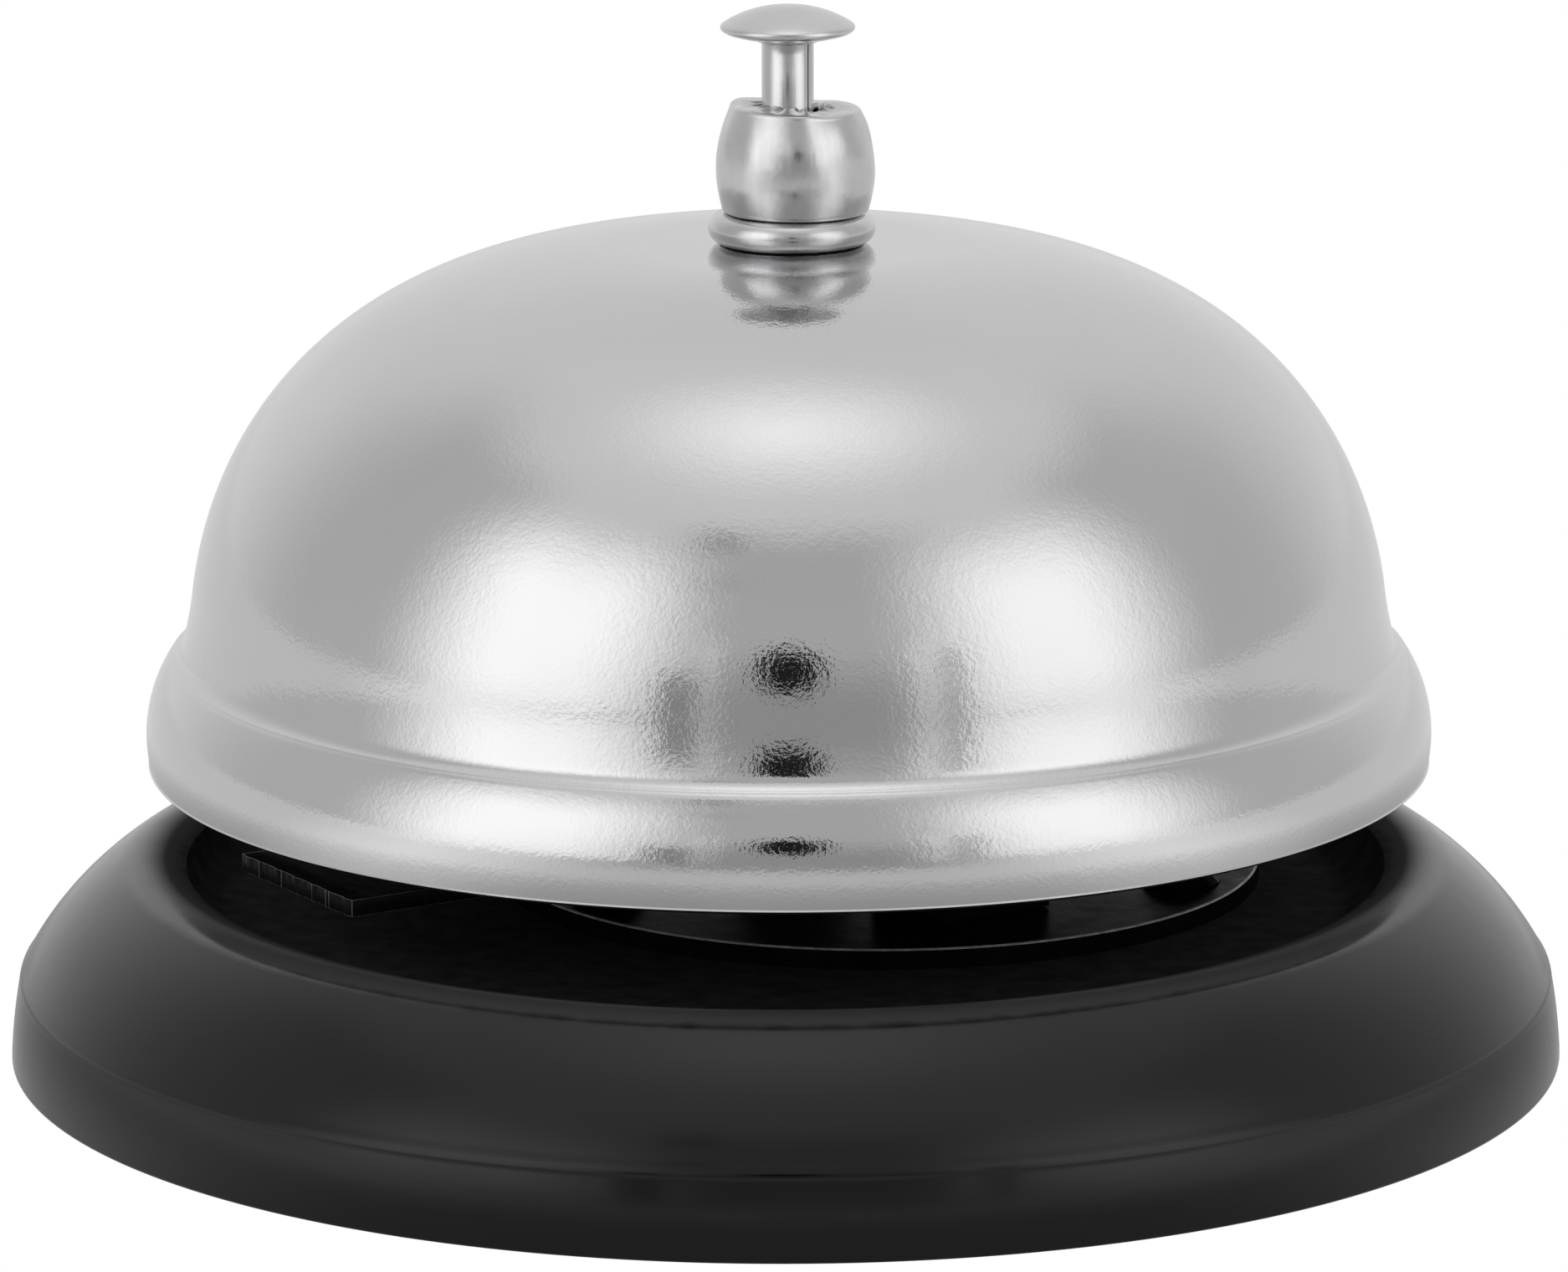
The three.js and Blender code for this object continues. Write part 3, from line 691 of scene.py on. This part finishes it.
def hammer_outline():
    """The bent strip's middle line, from the fork's tips to the foot: distance from the post, height."""
    def bend(a, corner, b, steps):
        return [tuple(a[k] * (1 - t) ** 2 + corner[k] * 2 * t * (1 - t) + b[k] * t * t for k in (0, 1))
                for t in (i / steps for i in range(steps + 1))]

    return [
        *bend((-2.0, ARM_LEVEL + 0.1), (-0.9, ARM_LEVEL + 0.9), (0, ARM_LEVEL + 1.05), 8),
        *bend((0, ARM_LEVEL + 1.05), (1.3, ARM_LEVEL + 0.9), (2.3, ARM_LEVEL), 8)[1:],
        (FORK_END, ARM_LEVEL), (7, ARM_LEVEL), (10.4, ARM_LEVEL),
        *bend((10.4, ARM_LEVEL), (11.8, ARM_LEVEL), (12.7, ARM_LEVEL - 1.2), 12)[1:],
        (15.65, (ARM_LEVEL + FOOT_LEVEL) / 2),
        *bend((18.6, FOOT_LEVEL + 1.2), (19.6, FOOT_LEVEL), (21.2, FOOT_LEVEL), 12),
        (24, FOOT_LEVEL), (27, FOOT_LEVEL), (29.5, FOOT_LEVEL), (FOOT_REACH, FOOT_LEVEL),
    ]


def hammer():
    """A forked strip on two ears, thickened by a modifier. Its end was sheared, which left fine ridges."""
    path = hammer_outline()
    across = [HAMMER_HALF * (2 * j / SHEAR_ROWS - 1) for j in range(SHEAR_ROWS + 1)]
    across = sorted(across + [-FORK_HALF, FORK_HALF])
    bm = bmesh.new()
    grid = []
    for s_at, z in path:
        row = []
        for t_at in across:
            ridge = 0.0
            if s_at == FOOT_REACH:
                ridge = 0.12 * noise.noise(Vector((t_at * 2.3, 1.7, 0))) - 0.08
                ridge += 0.08 * noise.noise(Vector((t_at * 5.0, 5.1, 0)))
            row.append(bm.verts.new((s_at + ridge, t_at, z)))
        grid.append(row)
    for a, b, (s_low, _) in zip(grid, grid[1:], path):
        for k in range(len(across) - 1):
            middle = (across[k] + across[k + 1]) / 2
            if s_low < FORK_END and abs(middle) < FORK_HALF:
                continue
            bm.faces.new((a[k], b[k], b[k + 1], a[k + 1]))
    for side in (-1, 1):
        front, back = PIVOT[0] + EAR_RADIUS, PIVOT[0] - EAR_RADIUS
        edge = bulge((front, PIVOT[1]), (back, PIVOT[1]), 0.01 - EAR_RADIUS, 20)
        rim = [(back, ARM_LEVEL), (front, ARM_LEVEL), *edge]
        hole = []
        for x, z in rim:
            away = Vector((x - PIVOT[0], z - PIVOT[1])).normalized() * PIN_HOLE
            hole.append((PIVOT[0] + away.x, PIVOT[1] + away.y))
        t_at = side * (HAMMER_HALF - SHEET / 2)
        outer = [bm.verts.new((x, t_at, z)) for x, z in rim]
        inner = [bm.verts.new((x, t_at, z)) for x, z in hole]
        for k in range(len(rim)):
            j = (k + 1) % len(rim)
            bm.faces.new((outer[k], outer[j], inner[j], inner[k]))
    loose = [vert for vert in bm.verts if not vert.link_faces]
    bmesh.ops.delete(bm, geom=loose, context="VERTS")
    bmesh.ops.rotate(bm, matrix=Matrix.Rotation(HAMMER_AZIMUTH, 3, "Z"), verts=bm.verts)
    bmesh.ops.translate(bm, vec=(*POST, 0), verts=bm.verts)
    arm = make_piece("sheared_hammer", bm, [STRIP, EDGE_HIGHLIGHT], "hammer", ["hammer_arm"])
    sheet = arm.modifiers.new("sheet", "SOLIDIFY")
    sheet.thickness = SHEET * MM
    sheet.offset = 0
    # its eased edges take the painted highlight
    ease_edges(arm, 0.07, 1)


# ---- return spring ------------------------------------------------------------------------
SPRING_TOP = 19.15
SPRING_RADIUS = 2.6              # to the middle of the wire
SPRING_WIRE = 0.3                # radius
SPRING_TURNS = 6.5


def return_spring():
    """A coil with a closed turn at each end, which the plunger squashes."""
    low, high = PLATE_TOP + FIT_GAP + SPRING_WIRE, SPRING_TOP - SPRING_WIRE
    closed = 0.75                # pitch of the closed end turns
    steps, sides = 300, 14
    bm = bmesh.new()
    rings = []
    for i in range(steps + 1):
        turn = SPRING_TURNS * i / steps
        open_turns = min(max((turn - 1) / (SPRING_TURNS - 2), 0), 1)
        end_turns = min(turn, 1) + max(turn - (SPRING_TURNS - 1), 0)
        z = low + closed * end_turns + (high - low - 2 * closed) * open_turns
        angle = 2 * math.pi * turn + HAMMER_AZIMUTH
        ring = []
        for k in range(sides):
            around = 2 * math.pi * k / sides
            r = SPRING_RADIUS + SPRING_WIRE * math.cos(around)
            at = (POST[0] + r * math.cos(angle), r * math.sin(angle), z + SPRING_WIRE * math.sin(around))
            ring.append(bm.verts.new(at))
        rings.append(ring)
    for a, b in zip(rings, rings[1:]):
        for k in range(sides):
            j = (k + 1) % sides
            bm.faces.new((a[k], a[j], b[j], b[k]))
    bm.faces.new(rings[0])
    bm.faces.new(rings[-1])
    spring = make_piece("coil_spring", bm, ZINC, "base", ["return_spring"], sharp=60)
    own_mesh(spring)


# ---- floor and light ------------------------------------------------------------------------
FLOOR_SIZE = 3.0                 # half its side, in metres, as are the distances here
FLOOR_SIDE = 0.72                # the counter beside and behind the bell
FLOOR_GLARE = (60, 16, 18, 0.30)  # painted pools of light: azimuth, half width, softness, strength
FLOOR_SWEEP = 1.8                # how much stronger they are far off, where they meet the lights
SWEEP_REACH = (0.25, 0.8)
FLOOR_FRONT = 0.64               # the counter in front, where the camera shades it
FLOOR_FAR = 0.38                 # and farther towards the camera
FAR_REACH = (0.12, 0.35)
FRONT_LANE = (46, 14)            # the front's azimuths: from none to all of it
FLOOR_NEAR = 0.62                # what is left of all that close to the skirt, as painted shade
NEAR_REACH = (0.055, 0.105)


def studio_floor():
    """A white sweep. It looks pure white to the camera, and each reflection finds it glowing unevenly with
    painted light and shade.
    """
    size = FLOOR_SIZE
    mesh = bpy.data.meshes.new("floor")
    corners = [(-size, -size, 0), (size, -size, 0), (size, size, 0), (-size, size, 0)]
    mesh.from_pydata(corners, [], [(0, 1, 2, 3)])
    floor = bpy.data.objects.new("floor", mesh)
    material = bpy.data.materials.new("white_floor")
    material.use_nodes = True
    tree = material.node_tree
    maths = Maths(tree)
    tree.nodes.remove(tree.nodes["Principled BSDF"])
    glow = tree.nodes.new("ShaderNodeEmission")
    x, y, _ = maths.split(tree.nodes.new("ShaderNodeTexCoord").outputs["Object"])
    aside = maths.calc("ABSOLUTE", maths.azimuth(x, y))
    away = maths.distance(x, y)
    front = maths.smooth(away, *FAR_REACH, FLOOR_FRONT, FLOOR_FAR)
    lane = maths.smooth(aside, *FRONT_LANE)
    at, half, soft, strength = FLOOR_GLARE
    glare = maths.smooth(away, *SWEEP_REACH, strength, strength * FLOOR_SWEEP)
    patch = maths.calc("MULTIPLY", maths.bump(aside, at, half, soft), glare)
    side = maths.calc("ADD", FLOOR_SIDE, patch)
    lit = maths.calc("ADD", maths.calc("MULTIPLY", front, lane),
                     maths.calc("MULTIPLY", side, maths.calc("SUBTRACT", 1, lane)))
    seen = tree.nodes.new("ShaderNodeLightPath").outputs["Is Camera Ray"]
    lit = maths.calc("MULTIPLY", lit, maths.smooth(away, *NEAR_REACH, FLOOR_NEAR, 1))
    tree.links.new(maths.calc("MAXIMUM", lit, seen), glow.inputs["Strength"])
    tree.links.new(glow.outputs["Emission"], tree.nodes["Material Output"].inputs["Surface"])
    mesh.materials.append(material)
    bpy.context.collection.objects.link(floor)


# Azimuths and heights are in degrees. An azimuth is 0 towards the camera and grows to the right.
SKY = 0.81                       # soft light from everywhere above SKY_EDGE
SKY_EDGE = (47, 61)
ROOM_BACK = 0.78                 # the sweep behind the bell
ROOM_SIDE = 0.58
ROOM_FRONT = 0.54                # the room behind the camera
ROOM_LOW = 0.37                  # and its lower, darker part
LOW_EDGE = (4, 22)               # where the low part fades into the rest
SIDE_EDGE = (20, 70)             # where the front fades into the sides
BACK_EDGE = (105, 150)           # and the sides into the sweep
# Soft lights: azimuth, height, half width, half height, softness, strength
SOFT_LIGHTS = (
    (-49, 19, 23, 26, 16, 0.91),
    (53, 19, 21, 26, 17, 0.86),
)
TOP_LIGHT = (13, 16, 0.47)       # half angle from the zenith, softness, strength
# Dark and bright things standing in the room: azimuth, half width, top, gain
UPRIGHTS = (
    (-21.3, 3.2, 12, -0.50),
    (-15.0, 0.8, 22, 0.55),
    (31.5, 1.8, 18, -0.38),
    (25.5, 1.3, 20, 0.35),
)
UPRIGHT_SOFT = (0.7, 2)          # softness of their sides and of their tops
# Dark blurs higher up: azimuth, height, half width, half height, softness, gain
SHADES = (
    (-18, 51, 5, 2.5, 2.5, -0.35),
    (-16, 39, 6, 1.5, 2, -0.15),
)
LENS = (0, 14.3, 6.2, 1.0, 0.03)  # the dark camera lens: azimuth, height, half angle, softness, glow


def studio_world():
    """Soft light as a function of direction: two boxes in front, one above, and a pale sweep behind."""
    world = bpy.data.worlds.new("studio")
    world.use_nodes = True
    tree = world.node_tree
    maths = Maths(tree)
    calc, smooth = maths.calc, maths.smooth
    x, y, z = maths.split(tree.nodes.new("ShaderNodeTexCoord").outputs["Generated"])
    azimuth = maths.azimuth(x, y)
    height = calc("DEGREES", calc("ARCSINE", z))
    aside = calc("ABSOLUTE", azimuth)

    def patch(at, up, half_width, half_height, soft):
        across = maths.bump(azimuth, at, half_width, soft)
        return calc("MULTIPLY", across, maths.bump(height, up, half_height, soft))

    def gained(light, share, gain):
        """Multiplies the light by 1 + share x gain."""
        return calc("MULTIPLY", light, calc("ADD", 1, calc("MULTIPLY", share, gain)))

    front = smooth(height, *LOW_EDGE, ROOM_LOW, ROOM_FRONT)
    to_side = smooth(aside, *SIDE_EDGE)
    light = calc("ADD", calc("MULTIPLY", front, calc("SUBTRACT", 1, to_side)),
                 calc("MULTIPLY", to_side, ROOM_SIDE))
    light = calc("ADD", light, smooth(aside, *BACK_EDGE, 0, ROOM_BACK - ROOM_SIDE))
    sky = smooth(height, *SKY_EDGE)
    light = calc("MULTIPLY", light, calc("SUBTRACT", 1, sky))
    light = calc("ADD", light, calc("MULTIPLY", sky, SKY))
    for *box, strength in SOFT_LIGHTS:
        light = calc("ADD", light, calc("MULTIPLY", patch(*box), strength))
    side_soft, top_soft = UPRIGHT_SOFT
    for at, half, top, gain in UPRIGHTS:
        below = smooth(height, top + top_soft, top - top_soft)
        upright = calc("MULTIPLY", maths.bump(azimuth, at, half, side_soft), below)
        light = gained(light, upright, gain)
    for *blur, gain in SHADES:
        light = gained(light, patch(*blur), gain)
    half, soft, strength = TOP_LIGHT
    overhead = smooth(height, 90 - half - soft, 90 - half + soft)
    light = calc("ADD", light, calc("MULTIPLY", overhead, strength))
    at, up, half, soft, glow = LENS
    off_lens = maths.distance(calc("SUBTRACT", azimuth, at), calc("SUBTRACT", height, up))
    light = calc("MULTIPLY", light, smooth(off_lens, half - soft, half + soft, glow, 1))
    tree.links.new(light, tree.nodes["Background"].inputs["Strength"])
    tree.nodes["Background"].inputs["Color"].default_value = (1, 1, 1, 1)
    bpy.context.scene.world = world


add_camera()
base_dish()
base_pad()
bell_dome()
bell_collar()
barrel_nut()
plunger_button()
plunger_sleeve()
return_spring()
mechanism_plate()
hammer()
dress_inner_nodes()
studio_floor()
studio_world()
bpy.context.scene.view_settings.view_transform = "Standard"
